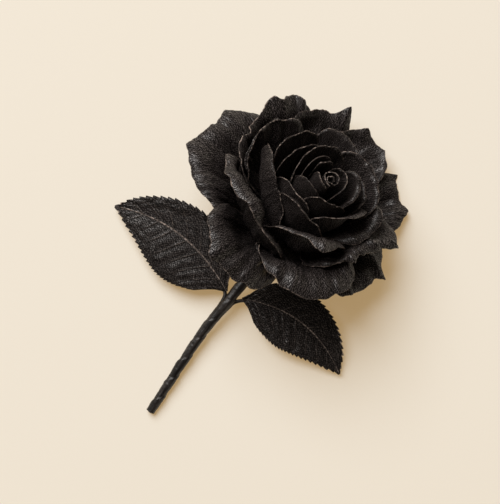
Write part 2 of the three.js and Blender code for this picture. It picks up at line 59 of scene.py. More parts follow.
# The stage in metres, the camera's sensor in millimetres: half the table's side, the lamp, the camera
TABLE_HALF = 3.0
WINDOW_SIDE = (-0.572, 0.291, 0.766)
WINDOW_AWAY = 4.0
WINDOW_WIDTH = 3.2
WINDOW_AIM = (0.0, 0.0, 0.02)
CAMERA_X = -0.0017
CAMERA_Y = 0.00437
CAMERA_SENSOR = 36.0
CAMERA_NEAR = 0.01

# Sizes below are in millimetres and degrees, in the part's own frame
MM = 0.001
BLOOM_FOOT = (5.5, 26.97, 11.093)
BLOOM_TILT = 24.0
BLOOM_TURN = 8.0
GLUE_GAP = 0.3
TABLE_GAP = 0.02

# Petals: the bases on the roll, the rounded ends, the rolled lip and the corners of the rim
CLAW_RADIUS = 4.4
CLAW_STEP = 0.7
CLAW_HEIGHT = 2.0
CLAW_DROP = 0.55
CLAW_SHARE = 0.62
CLAW_ANGLE = [89, 87, 82, 72, 58, 42, 27, 14, 6]
CLAW_OPENING = 1.25
PETAL_BOW = 0.45
END_POWER = 6
LIP_END = 0.3
LIP_LEAST = 0.15
CORNER_GAIN = 1.3
CORNER_POWER = 1.4

# Lengths over which the noise of a petal's rim and of its folds changes, across the petal and then up it,
# and the radius at which the broad folds have their full depth
WAVE_LENGTH = 18
RIPPLE_LENGTH = 6
CUSP_LENGTH = 9
FRAY_LENGTHS = (0.9, 2.6)
DRIFT_LENGTHS = (8, 9)
FOLD_LENGTHS = (2.6, 22)
FINE_LENGTHS = (1.2, 7)
DENT_LENGTHS = (6, 6)
BROAD_LENGTHS = (6.5, 28)
FLUTE_LENGTHS = (1.9, 12)
BROAD_REACH = 30

# How much narrower the pale edge is on the inner petals and on the roll
INNER_EDGE = 0.16
ROLL_EDGE = 0.24

# Centre roll
ROLL_TURNS = 1.8
ROLL_PITCH = 0.7
ROLL_INNER = 1.38
ROLL_CURL = 0.9
ROLL_MOUTH = 3.5
ROLL_FOOT = -3.7
ROLL_TOP = 45.6
ROLL_DIP = 1.6

# Calyx
SEPALS = 5
SEPAL_REACH = 19.0
SEPAL_NOTCH = 10.6
CALYX_BORE = 3.2
CALYX_DISH = 1.3
CALYX_SLOPE = 0.12
CALYX_DROP = 3.2
CALYX_MAP_LENGTH = 60

# Stem
WIRE_DIAMETER = 1.8
TAPE_END_RADIUS = 1.65
TAPE_NECK_RADIUS = 2.4
TAPE_LENGTH = 100.3
TAPE_PITCH = 10.0
TAPE_RIDGE = 0.33
TAPE_LAP = 0.12
TAPE_MAP_RADIUS = 2.0
GROOVE_DEPTH = 0.5
GROOVE_START = 0.62
GROOVE_FADE = 0.06
GROOVE_TURN = 1.75
GROOVE_WIDTH = 0.3
STEM_LINE = [
    (2.4, -74.03, 1.87), (2.19, -66.88, 2.34), (1.93, -59.74, 2.8), (1.67, -52.59, 3.27),
    (1.46, -45.44, 3.74), (1.35, -38.29, 4.23), (1.46, -31.15, 4.75), (1.93, -24.03, 5.47),
    (2.59, -16.92, 6.09), (3.11, -9.78, 6.12), (3.52, -2.65, 5.57), (3.92, 4.47, 4.82),
    (4.32, 11.6, 4.2), (4.74, 18.73, 3.62), (5.19, 24.79, 6.16),
]

# Leaves: side veins and teeth, the covered stalks, then each leaf's own midrib, stalk and sizes
VEIN_COUNT = 8.5
VEIN_SWEEP = 0.16
VEIN_CURVE = 0.05
VEIN_START = 0.25
TOOTH_DEPTH = 0.9
STALK_RADIUS = 1.15
STALK_TAPER = 0.75
STALK_TAPER_POWER = 0.6
STALK_RIDGE = 0.07
STALK_CLOSING = 0.02
STALK_LAPS = 9
STALK_PITCH = 6
STALK_MAP_LENGTH = 60
LEAVES = {
    "leaf_left": {
        "line": [(0.5, -15.0, 6.4), (-30.0, -6.3, 6.4), (-59.4, -12.7, 3.2)],
        "wire": [
            (1.0, -26.0, 5.4), (0.8, -20.5, 5.9), (-0.2, -15.8, 5.9), (-4.95, -12.4, 5.3),
            (-12.98, -9.33, 5.6), (-24.53, -6.76, 5.6), (-43.27, -7.29, 4.5)],
        "width": 33.5, "skew": 0.16, "fold": 11.0, "teeth": 25, "seed": 41,
    },
    "leaf_right": {
        "line": [(6.0, -13.8, 6.0), (32.7, -7.4, 5.4), (58.6, -16.4, 2.6)],
        "wire": [
            (2.9, -26.0, 5.3), (3.9, -20.6, 5.7), (5.4, -15.8, 5.6), (11.22, -11.37, 4.9),
            (18.3, -8.96, 4.9), (28.67, -7.38, 4.6), (45.51, -9.89, 3.4)],
        "width": 28.5, "skew": -0.08, "fold": 20.0, "teeth": 24, "seed": 57,
    },
}

# Petals from the heart outwards: degrees round the bloom, then radius, height, lean, lip length and
# lip turn along the rim, the place in the stack of bases, how far the two ends are rounded off, and
# corners as (place, half width, length)
PETAL_FIELDS = ("span", "reach", "rise", "lean", "lip", "roll", "layer", "ends", "corners")
NO_CORNERS = ()
PETAL_TABLE = {
    "wrap_a": (
        (180, 300), (6.4, 4.9, 4.2), (45, 46, 44), (88, 94, 90), (0.2, 0.2, 0.2), 60, 0, (0.2, 0.2)),
    "wrap_b": ((-45, 135), (6, 5.6, 4.8), (42, 45, 45), (92, 88, 90), (0.2, 0.4, 0.2), 60, 0, (0.2, 0.2)),
    "wrap_c": ((116, 190), (6, 7, 8), (44, 45, 43), (86, 86, 88), (0.2, 0.4, 0.2), 60, 0.5, (0.2, 0.2)),
    "heart_left": (
        (200, 290), (12, 8.4, 6.8), (43, 43, 40), (95, 102, 96), (0.3, 0.5, 0.3), 60, 1, (0.3, 0.3)),
    "heart_right": (
        (-22, 92), (9.8, 10.4, 7), (39, 42.5, 43.5), (90, 84, 88), (0.6, 2.4, 0.3), 110, 1, (0.3, 0.3)),
    "heart_top": (
        (110, 208), (7.6, 9.6, 10.8), (42, 44, 42), (84, 84, 88), (0.3, 0.5, 0.3), 60, 1.2, (0.3, 0.3)),
    "inner_front": (
        (244, 372), (9.8, 8.8, 13), (41, 41.5, 35), (100, 102, 92), (0.5, 0.8, 0.5), 70, 1.7, (0.4, 0.4)),
    "inner_top": (
        (80, 228), (15.2, 13.6, 13.6), (37.5, 42.5, 36), (80, 82, 90), (0.4, 0.6, 0.4), 60, 2,
        (0.4, 0.4)),
    "inner_right": (
        (0, 74), (15.2, 15.6, 14.4), (34, 36, 37), (84, 70, 74), (1, 1.4, 1), 80, 2.3, (0.4, 0.4)),
    "inner_left": (
        (200, 294), (19.2, 13.4, 12.4), (36, 40, 35), (88, 102, 98), (0.6, 1.2, 0.6), 80, 2.4,
        (0.4, 0.4)),
    "mid_front": (
        (272, 388), (14.4, 13.6, 18.4), (37, 38, 31.5), (102, 100, 76), (0.8, 1.4, 5), 100, 2.9,
        (0.4, 0.15)),
    "mid_back": (
        (125, 206), (16.8, 16.8, 21), (36, 39.5, 36), (80, 82, 86), (0.4, 0.5, 0.4), 60, 3, (0.4, 0.4)),
    "mid_left": (
        (220, 326), (17.6, 15.8, 18.8), (35, 39, 28), (90, 97, 96), (0.8, 1.4, 0.8), 90, 3.4, (0.4, 0.4)),
    "mid_right": (
        (10, 118), (21.4, 22.6, 17), (29, 31, 34.5), (62, 60, 74), (1.6, 2, 0.8), 70, 3.4, (0.3, 0.4)),
    "mid_back_outer": (
        (122, 206), (23.4, 23.2, 22.4), (32, 36.5, 36), (72, 76, 84), (0.6, 0.6, 0.4), 60, 3.8,
        (0.45, 0.4)),
    "low_right": (
        (-30, 46), (18.2, 22.4, 24), (24.5, 26, 28), (50, 40, 46), (0.8, 5, 2.4), 70, 3.9, (0.3, 0.3)),
    "tongue": (
        (183, 268), (25.4, 18.6, 17.6), (38, 34, 22), (110, 120, 114), (1.2, 0.6, 0.6), 90, 4.2,
        (0.12, 0.3)),
    "mid_right_outer": (
        (76, 138), (23, 26, 25.4), (29.5, 29.5, 31), (52, 48, 70), (1, 2, 1), 80, 4.2, (0.4, 0.4)),
    "low_front": (
        (252, 347), (25.8, 22.6, 21.8, 21.8, 22.4), (31, 34, 34.5, 31.5, 26), (90, 98, 101, 99, 92),
        (0.8, 1.4, 3, 4, 2), 125, 4.4, (0.3, 0.3), ((0.12, 0.42, 5.5),)),
    "back_left": (
        (130, 216), (30, 32.6, 26.4), (24, 30, 24), (60, 66, 74), (0.8, 0.8, 0.5), 60, 5.2, (0.35, 0.4)),
    "guard_right_low": (
        (-54, 36), (28.6, 26.8, 25.6, 30.5, 37), (24, 26, 25.6, 21.5, 15.5), (76, 70, 64, 48, 34),
        (2, 3.4, 5, 6, 5), 125, 5.8, (0.3, 0.15), ((0.58, 0.26, 5), (-0.25, 0.16, 2.2))),
    "guard_right_top": (
        (58, 114), (31.5, 38.6, 31), (15, 15.2, 19.4), (44, 44, 52), (2, 4, 2), 45, 5.4, (0.25, 0.25),
        ((0.3, 0.25, 2), (-0.25, 0.2, 1.5))),
    "guard_top_right": (
        (90, 150), (34.8, 37.2, 31), (12, 16, 22), (52, 58, 64), (2, 4, 2), 40, 5.9, (0.25, 0.25),
        ((-0.38, 0.3, 6),)),
    "guard_right": (
        (26, 78), (37, 40.5, 37), (10, 6.5, 9), (8, 10, 20), (2, 4, 2), 40, 6.4, (0.25, 0.25),
        ((-0.2, 0.25, 2.4), (0.56, 0.28, 4.5))),
    "guard_top": (
        (120, 220), (36.8, 35, 28.4), (12.6, 21.4, 29), (56, 62, 72), (3.5, 4, 2.5), 45, 6.35,
        (0.25, 0.3), ((-0.72, 0.34, 5.6), (-0.36, 0.4, 5.2))),
    "left_lip": (
        (201, 288), (34.8, 31.4, 28.6, 28, 28.4), (29.5, 33.6, 34.8, 31, 24), (70, 84, 95, 94, 82),
        (8, 9.5, 7, 3.8, 2.4), 125, 6.65, (0.06, 0.3)),
    "guard_front": (
        (262, 349), (33, 32.4, 31.2, 30, 29), (23.6, 23, 22.6, 21.2, 19.2), (48, 46, 44, 42, 40),
        (1.6, 7, 12.2, 10.3, 6.2), 72, 7.1, (0.15, 0.2)),
    "guard_front_right": (
        (326, 390), (35, 35, 31), (9, 9.3, 6.5), (4, 4, 6), (3, 6, 4), 50, 7.7, (0.2, 0.2),
        ((0.22, 0.18, 4),)),
    "guard_left_low": (
        (227, 293), (39.6, 38, 36), (21.5, 19.6, 11), (42, 36, 8), (4.4, 9.5, 4.4), 70, 7.7, (0.2, 0.2),
        ((-0.2, 0.15, 2),)),
    "guard_left": (
        (148, 239), (37.6, 41.6, 35.2), (12, 15, 20), (22, 28, 54), (4.5, 9, 4), 75, 8, (0.25, 0.25),
        ((-0.86, 0.3, 3.5), (-0.5, 0.18, 3), (0.1, 0.3, 3.2))),
}
PETALS = {
    name: SimpleNamespace(**dict(zip(PETAL_FIELDS, (*row, NO_CORNERS))))
    for name, row in PETAL_TABLE.items()
}

# Fineness of the meshes
PETAL_STEP = 0.42
PETAL_ROWS = (60, 170)
PETAL_STATIONS = np.concatenate([
    np.linspace(0, 0.5, 9)[:-1], np.linspace(0.5, 1, 26)[:-1], np.linspace(1, 2, 22)])
ROLL_ROWS = 260
ROLL_STATIONS = np.concatenate([np.linspace(0, 0.8, 10)[:-1], np.linspace(0.8, 1, 24)])
CALYX_ROWS = 320
CALYX_COLUMNS = 30
TAPE_ROWS = 420
TAPE_SIDES = 48
LEAF_ROWS = 400
LEAF_COLUMNS = 71
STALK_ROWS = 160
STALK_SIDES = 24
LINE_SHARES = np.linspace(0, 1, 401)
NOISE_CELLS = 64

# Crepe finish: slants of the crossing ridges with the scale of the noise that bends them, the bend in
# radians, the strength of the relief, its depth in metres, and the shine and the width of the pale frayed
# edge of each paper, which is partly a painted highlight where the rims catch the light
GRAIN_WEAVES = ((0.6, 600.0), (-0.72, 720.0))
GRAIN_BEND = 15.0
CREPE_RELIEF = 0.45
CREPE_DEPTH = 0.0003
PETAL_SHINE = 1.2
PETAL_FRAY_AND_GLINT = 0.5
LEAF_SHINE = 0.6
LEAF_FRAY_AND_GLINT = 0.2

# Tape and wire finishes
TAPE_GRAIN = 1.1
TAPE_RELIEF = 0.25
TAPE_FRAY_AND_GLINT = 0.3
WIRE_DARK = (0.26, 0.24, 0.22, 1)
WIRE_BRIGHT = (0.46, 0.43, 0.4, 1)


def along(values, s):
    """Smooth curve through evenly spaced values over s from -1 to 1.

    Cubic Hermite pieces whose slope at each value is half the difference of its neighbours.
    """
    values = np.atleast_1d(np.asarray(values, float))
    if values.size == 1:
        return np.full_like(s, values[0])
    slopes = np.gradient(values, edge_order=2)
    x = (s + 1) / 2 * (values.size - 1)
    k = np.clip(np.floor(x).astype(int), 0, values.size - 2)
    f = x - k
    rise = values[k] * (1 + 2 * f) * (1 - f) ** 2 + values[k + 1] * f**2 * (3 - 2 * f)
    return rise + slopes[k] * f * (1 - f) ** 2 - slopes[k + 1] * f**2 * (1 - f)


def crumple(x, y, seed):
    """Smooth noise from -1 to 1: random heights at whole x and y, blended by 3f^2 - 2f^3 both ways."""
    heights = np.random.default_rng(seed).uniform(-1, 1, (NOISE_CELLS, NOISE_CELLS))
    x, y = np.broadcast_arrays(x, y)
    i, j = np.floor(x).astype(int), np.floor(y).astype(int)
    f, g = smooth_step(x - i), smooth_step(y - j)
    i, next_i = i % NOISE_CELLS, (i + 1) % NOISE_CELLS
    j, next_j = j % NOISE_CELLS, (j + 1) % NOISE_CELLS
    low = heights[i, j] * (1 - f) + heights[next_i, j] * f
    high = heights[i, next_j] * (1 - f) + heights[next_i, next_j] * f
    return low * (1 - g) + high * g


def smooth_step(f):
    """The S-curve 3f^2 - 2f^3, which goes from 0 to 1 with no slope at either end."""
    return f * f * (3 - 2 * f)


def unit(vectors):
    """Vectors scaled to length one."""
    return vectors / np.maximum(np.linalg.norm(vectors, axis=-1, keepdims=True), 1e-9)


def grid_normals(points):
    """Normals of a grid of points: the cross product of its steps along rows and along columns."""
    return unit(np.cross(np.gradient(points, axis=0), np.gradient(points, axis=1)))


def run_length(points, axis):
    """Length walked along one axis of a grid of points, from its first row or column."""
    steps = np.linalg.norm(np.diff(points, axis=axis), axis=-1)
    shape = list(points.shape[:2])
    shape[axis] = 1
    return np.concatenate([np.zeros(shape), np.cumsum(steps, axis=axis)], axis=axis)


def petal_profile(petal, s, t, ruffle, seed):
    """Radius and height of a petal, in the half-plane through the bloom's axis.

    For t from 0 to 1 a cubic Bezier runs from the base, at the claw's angle, to the rim, at the rim's
    lean. From 1 to 2 a circular arc carries the lip outwards through its turn. Towards both ends of s the
    Bezier is cut short, which rounds the petal's ends. The ruffle moves the rim by smooth noise and draws
    it up in cusps, one less twice the size of noise. The lip's length adds the rim's corners, each a
    triangle raised to a power, and a fray of fine noise.
    """
    width = math.radians(petal.span[1] - petal.span[0]) * np.mean(petal.reach)
    wave = crumple(s * width / WAVE_LENGTH + 7, 0.5, seed)
    ripple = crumple(s * width / RIPPLE_LENGTH + 3, 1.5, seed)
    cusp = 1 - 2 * np.abs(crumple(s * width / CUSP_LENGTH + 5, 4.5, seed))
    base_r = CLAW_RADIUS + CLAW_STEP * petal.layer
    base_h = CLAW_HEIGHT - CLAW_DROP * petal.layer
    rim_r = along(petal.reach, s) + ruffle * (0.8 * wave + 0.5 * ripple)
    rim_h = along(petal.rise, s) + ruffle * (0.8 * ripple + 0.7 * cusp)
    start = math.radians(np.interp(petal.layer, range(len(CLAW_ANGLE)), CLAW_ANGLE))
    tilt = np.radians(along(petal.lean, s) - 16 * ruffle * ripple)
    handle = PETAL_BOW * np.hypot(rim_r - base_r, rim_h - base_h)
    rounding = np.where(s < 0, petal.ends[0], petal.ends[1])
    b = np.minimum(t, 1) * (1 - rounding * np.abs(s) ** END_POWER)
    w0, w1, w2, w3 = (1 - b) ** 3, 3 * b * (1 - b) ** 2, 3 * b * b * (1 - b), b**3
    radius = w0 * base_r + w1 * (base_r + handle * math.cos(start))
    radius = radius + w2 * (rim_r - handle * np.cos(tilt)) + w3 * rim_r
    height = w0 * base_h + w1 * (base_h + handle * math.sin(start))
    height = height + w2 * (rim_h - handle * np.sin(tilt)) + w3 * rim_h
    length = along(petal.lip, s) * (1 - np.minimum(1, rounding / LIP_END) * np.abs(s) ** END_POWER)
    for place, half, extra in petal.corners:
        length = length + CORNER_GAIN * extra * np.maximum(0, 1 - np.abs(s - place) / half) ** CORNER_POWER
    fray = crumple(s * width / FRAY_LENGTHS[0], 2.5, seed) * 0.18
    fray = fray + crumple(s * width / FRAY_LENGTHS[1], 3.5, seed) * 0.28
    length = np.maximum(length + fray, LIP_LEAST)
    turn = np.radians(along(petal.roll, s))
    turned = tilt - turn * np.maximum(t - 1, 0)
    radius = radius + length / turn * (np.sin(tilt) - np.sin(turned))
    height = height + length / turn * (np.cos(turned) - np.cos(tilt))
    return radius, height


def petal_surface(petal, s, t, ruffle, wrinkle, seed):
    """Middle surface of a petal in the bloom's frame, over s across and t from base to edge.

    The profile is turned about the bloom's axis by an angle that opens out from the claw. Then it is
    pushed along its normals by noise that fades towards the base: sharp and fine folds that run up the
    petal, round dents, broad folds that calm down on the lip, and flutes along the edge.
    """
    radius, height = petal_profile(petal, s, t, ruffle, seed)
    widen = np.sin(math.pi / 2 * np.minimum(CLAW_OPENING * t, 1))
    half = (petal.span[1] - petal.span[0]) / 2
    turned = half * s * (CLAW_SHARE + (1 - CLAW_SHARE) * widen)
    angle = np.radians((petal.span[0] + petal.span[1]) / 2 + turned)
    points = np.stack([radius * np.cos(angle), radius * np.sin(angle), height + 0 * s], axis=-1)
    reach = np.mean(petal.reach)
    across = s * math.radians(half) * reach
    tall = 1.15 * math.hypot(reach, np.mean(petal.rise))
    up = tall * np.minimum(t, 1) + np.mean(petal.lip) * np.maximum(t - 1, 0)
    drifted = across + crumple(across / DRIFT_LENGTHS[0], up / DRIFT_LENGTHS[1], seed + 1) * 1.2
    folds = 1 - 2 * np.abs(crumple(drifted / FOLD_LENGTHS[0], up / FOLD_LENGTHS[1], seed + 2))
    fine = crumple(drifted / FINE_LENGTHS[0], up / FINE_LENGTHS[1], seed + 3)
    dents = crumple(across / DENT_LENGTHS[0], up / DENT_LENGTHS[1], seed + 4)
    broad = crumple(drifted / BROAD_LENGTHS[0], up / BROAD_LENGTHS[1], seed + 7)
    broad = broad * math.sqrt(reach / BROAD_REACH)
    flutes = crumple(drifted / FLUTE_LENGTHS[0], up / FLUTE_LENGTHS[1], seed + 5)
    flutes = flutes + 0.6 * crumple(across / FRAY_LENGTHS[0], 0.5, seed + 6)
    fade = np.clip((t - 0.25) / 0.6, 0, 1) ** 1.5
    calm = 1 - 0.45 * np.maximum(t - 1, 0)
    push = wrinkle * fade * (0.6 * folds + 0.3 * fine + 1.1 * dents + 4.0 * calm * broad)
    push = push + 0.26 * np.clip((t - 0.9) / 1.1, 0, 1) * flutes
    return points + grid_normals(points) * push[..., None]


def spiral_surface(w, v):
    """The wound strip: w runs along the winding and v from the foot to a dipped top.

    Below, the radius grows by one pitch a turn from the wire outwards. Over the top half it is blended
    into a looser spiral that starts nearer the axis, and smooth noise crinkles it.
    """
    low = ROLL_INNER + ROLL_PITCH * ROLL_TURNS * w
    high = ROLL_CURL + (ROLL_MOUTH - ROLL_CURL) * w
    share = smooth_step(np.clip((v - 0.55) / 0.42, 0, 1))
    angle = 2 * math.pi * ROLL_TURNS * w
    radius = low + (high - low) * share + 0.3 * v**3 * crumple(w * 13, v * 3, 8)
    top = ROLL_TOP - ROLL_DIP * (1 - w) + 0.7 * crumple(w * 16, 0.5, 5) + 0.3 * crumple(w * 60, 0.5, 6)
    height = ROLL_FOOT + (top - ROLL_FOOT) * v
    return np.stack([radius * np.cos(angle) + 0 * v, radius * np.sin(angle) + 0 * v, height], axis=-1)


def calyx_surface(a, v):
    """A shallow dish round the stem whose edge swings out to five points as a cubed triangle wave."""
    tip = np.abs(2 * (a * SEPALS - np.floor(a * SEPALS)) - 1)
    reach = SEPAL_NOTCH + (SEPAL_REACH - SEPAL_NOTCH) * tip**3
    radius = CALYX_BORE + (reach - CALYX_BORE) * v
    dish = CALYX_DISH * np.maximum(0, 1 - (radius - CALYX_BORE) / (SEPAL_NOTCH - CALYX_BORE))
    height = -CALYX_DROP - dish + CALYX_SLOPE * np.maximum(0, radius - SEPAL_NOTCH)
    angle = 2 * math.pi * a
    return np.stack([radius * np.cos(angle), radius * np.sin(angle), height + 0 * a], axis=-1)


def line_points(stations, share):
    """Points at shares of a smooth line through stations, each coordinate a Hermite curve."""
    stations = np.asarray(stations, float)
    return np.stack([along(stations[:, k], 2 * share - 1) for k in range(3)], axis=-1)


def tube_surface(stations, share, turn, radius, flip=False):
    """A tube of the given radius about a line: turn goes round it, share runs along it.

    Its section stands square to the line, with its first direction the part of +X square to it, or of +Z
    where the line is flipped to run sideways.
    """
    centre = line_points(stations, share)
    steps = unit(np.gradient(line_points(stations, LINE_SHARES), axis=0))
    tangent = unit(np.stack([np.interp(share, LINE_SHARES, steps[:, k]) for k in range(3)], axis=-1))
    first = np.array([0.0, 0.0, 1.0]) if flip else np.array([1.0, 0.0, 0.0])
    side = unit(first - (tangent @ first)[..., None] * tangent)
    up = np.cross(tangent, side)
    ring = np.cos(turn)[..., None] * side + np.sin(turn)[..., None] * up
    return centre + radius[..., None] * ring


def lap_place(wound, turn):
    """Place within a lap, from 0 to 1: the turns wound so far less the way round, whole turns dropped."""
    wind = wound - turn / (2 * math.pi)
    return wind - np.floor(wind)


def tape_radius(share, turn):
    """Radius of the wound tape: a taper from the cut end to the neck, with laps, creases and a groove.

    Each lap rises evenly and drops back over a narrow band at its edge. Two noises crease the tape. Near
    the neck a groove runs along the stem, a bell curve of the way round.
    """
    lap = lap_place(share * TAPE_LENGTH / TAPE_PITCH, turn)
    ridge = TAPE_RIDGE * np.minimum(lap, (1 - lap) / TAPE_LAP)
    crease = 0.07 * crumple(share * 110, turn * 3 / math.pi, 9)
    crease = crease + 0.1 * crumple(share * 30, turn * 2 / math.pi, 10)
    bell = np.exp(-(((turn - GROOVE_TURN) / GROOVE_WIDTH) ** 2))
    groove = GROOVE_DEPTH * np.clip((share - GROOVE_START) / GROOVE_FADE, 0, 1) * bell
    return TAPE_END_RADIUS + (TAPE_NECK_RADIUS - TAPE_END_RADIUS) * share + ridge + crease - groove


def stalk_radius(share, turn):
    """Radius of a covered stalk: thinned by a power of its length, lapped, and rounded shut at its ends."""
    lap = lap_place(share * STALK_LAPS, turn)
    closing = np.sqrt(np.clip(np.minimum(share, 1 - share) / STALK_CLOSING, 0, 1))
    return (STALK_RADIUS - STALK_TAPER * share**STALK_TAPER_POWER + STALK_RIDGE * lap) * closing


def blade_half_width(width, u):
    """Half width of a leaf at the share u of its length, widest below the middle.

    It is a power of the sine of half a turn taken as far as a power of u.
    """
    return width / 2 * np.sin(math.pi * np.clip(u, 0, 1) ** 0.82) ** 0.85


def leaf_surface(leaf, a, u):
    """Middle surface of a leaf: a from -1 to 1 across, u from stalk to tip.

    The blade's half width, drawn in to the stalk and to a sharp tip by powers of u, is shared unequally
    between the two halves, and its edge is cut into teeth that lean towards the tip. Each half rises from
    the midrib by the fold, bows over by the square of the way out, swells between its side veins as a
    cosine, and is crumpled by noise.
    """
    seed = leaf["seed"]
    tooth = u * leaf["teeth"] + 0.25 * crumple(u * 9, 0.5, seed)
    saw = tooth - np.floor(tooth)
    rim = np.abs(a) ** 5
    bare = np.clip(np.minimum(u, 1 - u) / 0.05, 0, 1)
    half = blade_half_width(leaf["width"], 0.015 + 0.975 * u) * np.clip((u + 0.01) / 0.14, 0, 1) ** 0.6
    half = half * np.clip((1.02 - u) / 0.12, 0, 1) ** 0.4
    half = np.maximum(half * (1 + leaf["skew"] * np.sign(a)), 0.3)
    half = np.maximum(half - TOOTH_DEPTH * bare * rim * (1 - saw), 0.25)
    reach = np.clip(0.015 + 0.972 * u + 0.009 * rim * saw * bare, 0, 0.992)
    stations = leaf["line"]
    walked = run_length(line_points(stations, LINE_SHARES)[:, None, :], 0)[:, 0]
    share = np.interp(reach * walked[-1], walked, LINE_SHARES)
    centre = line_points(stations, share)
    step = line_points(stations, np.minimum(share + 0.01, 1)) - line_points(stations, share - 0.01)
    step[..., 2] = 0
    tangent = unit(step)
    sideways = np.stack([-tangent[..., 1], tangent[..., 0], 0 * share], axis=-1)
    out = np.abs(a) * half
    fold = math.radians(leaf["fold"])
    vein = vein_line(a, u)
    rise = out * math.sin(fold) - 0.012 * out**2
    rise = rise - 0.5 * np.abs(a) * (1 - np.abs(a)) * np.cos(2 * math.pi * vein_place(a, u))
    rise = rise + 0.2 * vein + 0.7 * crumple(a * 2.5 + 9, u * 5, seed + 1) * np.abs(a)
    rise = rise + 0.3 * crumple(a * 9, u * 22, seed + 2) * np.abs(a)
    offset = np.sign(a) * out * math.cos(fold)
    points = centre + sideways * offset[..., None]
    points[..., 2] += rise
    return points


def vein_place(a, u):
    """Count of side veins passed: they leave the midrib evenly and sweep towards the tip."""
    return VEIN_COUNT * (u - VEIN_SWEEP * np.abs(a) - VEIN_CURVE * a * a) + VEIN_START


def vein_line(a, u):
    """One on the midrib and on side veins, falling to zero beside them as bell curves."""
    place = vein_place(a, u)
    beside = np.abs(place - np.round(place))
    side = np.exp(-((beside / 0.09) ** 2)) * np.clip(1.05 - np.abs(a), 0, 1)
    return np.maximum(side, np.exp(-((a / 0.06) ** 2)))


def add_piece(name, points, quads, uv, rim, material, blade=None):
    """A mesh object at the origin from points in millimetres, with its own UV maps and edge attribute."""
    mesh = bpy.data.meshes.new(name)
    mesh.from_pydata((points * MM).tolist(), [], quads.tolist())
    loops = np.empty(len(mesh.loops), np.int32)
    mesh.loops.foreach_get("vertex_index", loops)
    mesh.uv_layers.new(name="grain").data.foreach_set("uv", uv[loops].astype(np.float32).ravel())
    if blade is not None:
        mesh.uv_layers.new(name="blade").data.foreach_set("uv", blade[loops].astype(np.float32).ravel())
    edge = mesh.attributes.new("rim", "FLOAT", "POINT")
    edge.data.foreach_set("value", rim.astype(np.float32))
    mesh.polygons.foreach_set("use_smooth", np.ones(len(mesh.polygons), bool))
    mesh.materials.append(material)
    mesh.validate()
    piece = bpy.data.objects.new(name, mesh)
    bpy.context.collection.objects.link(piece)
    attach(piece, "root")
    return piece


def grid_quads(rows, columns, wrap_rows=False, wrap_columns=False):
    """Corner numbers of a grid's quads, row by row, closed round either way where asked."""
    i = np.arange(rows if wrap_rows else rows - 1)[:, None]
    j = np.arange(columns if wrap_columns else columns - 1)[None, :]
    ni, nj = (i + 1) % rows, (j + 1) % columns
    corners = [i * columns + j, ni * columns + j, ni * columns + nj, i * columns + nj]
    return np.stack(np.broadcast_arrays(*corners), axis=-1).reshape(-1, 4)


def paper_sheet(name, centre, thickness, rim, uv, material, ring=False, blade=None):
    """A closed sheet about a grid of middle points.

    The two faces lie half a thickness to either side along the grid's normals, and strips join them
    along the free borders. A ring joins its last row to its first.
    """
    rows, columns = centre.shape[:2]
    normals = ring_normals(centre) if ring else grid_normals(centre)
    front, back = centre + normals * thickness / 2, centre - normals * thickness / 2
    points = np.concatenate([front.reshape(-1, 3), back.reshape(-1, 3)])
    face = grid_quads(rows, columns, wrap_rows=ring)
    count = rows * columns
    number = np.arange(count).reshape(rows, columns)
    walk = np.arange(rows + 1) % rows if ring else np.arange(rows)
    borders = [number[walk[::-1], 0], number[walk, -1]]
    if not ring:
        borders += [number[0, :], number[-1, ::-1]]
    strips = [np.stack([b[:-1], b[1:], b[1:] + count, b[:-1] + count], axis=-1) for b in borders]
    quads = np.concatenate([face, face[:, ::-1] + count, *strips])
    uv = np.tile(uv.reshape(-1, 2), (2, 1))
    blade = None if blade is None else np.tile(blade.reshape(-1, 2), (2, 1))
    return add_piece(name, points, quads, uv, np.tile(rim.ravel(), 2), material, blade)


def ring_normals(points):
    """Normals of a grid that closes on itself along its rows."""
    around = np.roll(points, -1, axis=0) - np.roll(points, 1, axis=0)
    return unit(np.cross(around, np.gradient(points, axis=1)))


def bloom_to_part(points):
    """Points of the bloom's frame leaned back, turned and set on the bloom's foot."""
    turn = Matrix.Rotation(-math.radians(BLOOM_TURN), 3, "Z")
    lean = Matrix.Rotation(-math.radians(BLOOM_TILT), 3, "X")
    return points @ np.array(turn @ lean).T + np.array(BLOOM_FOOT)


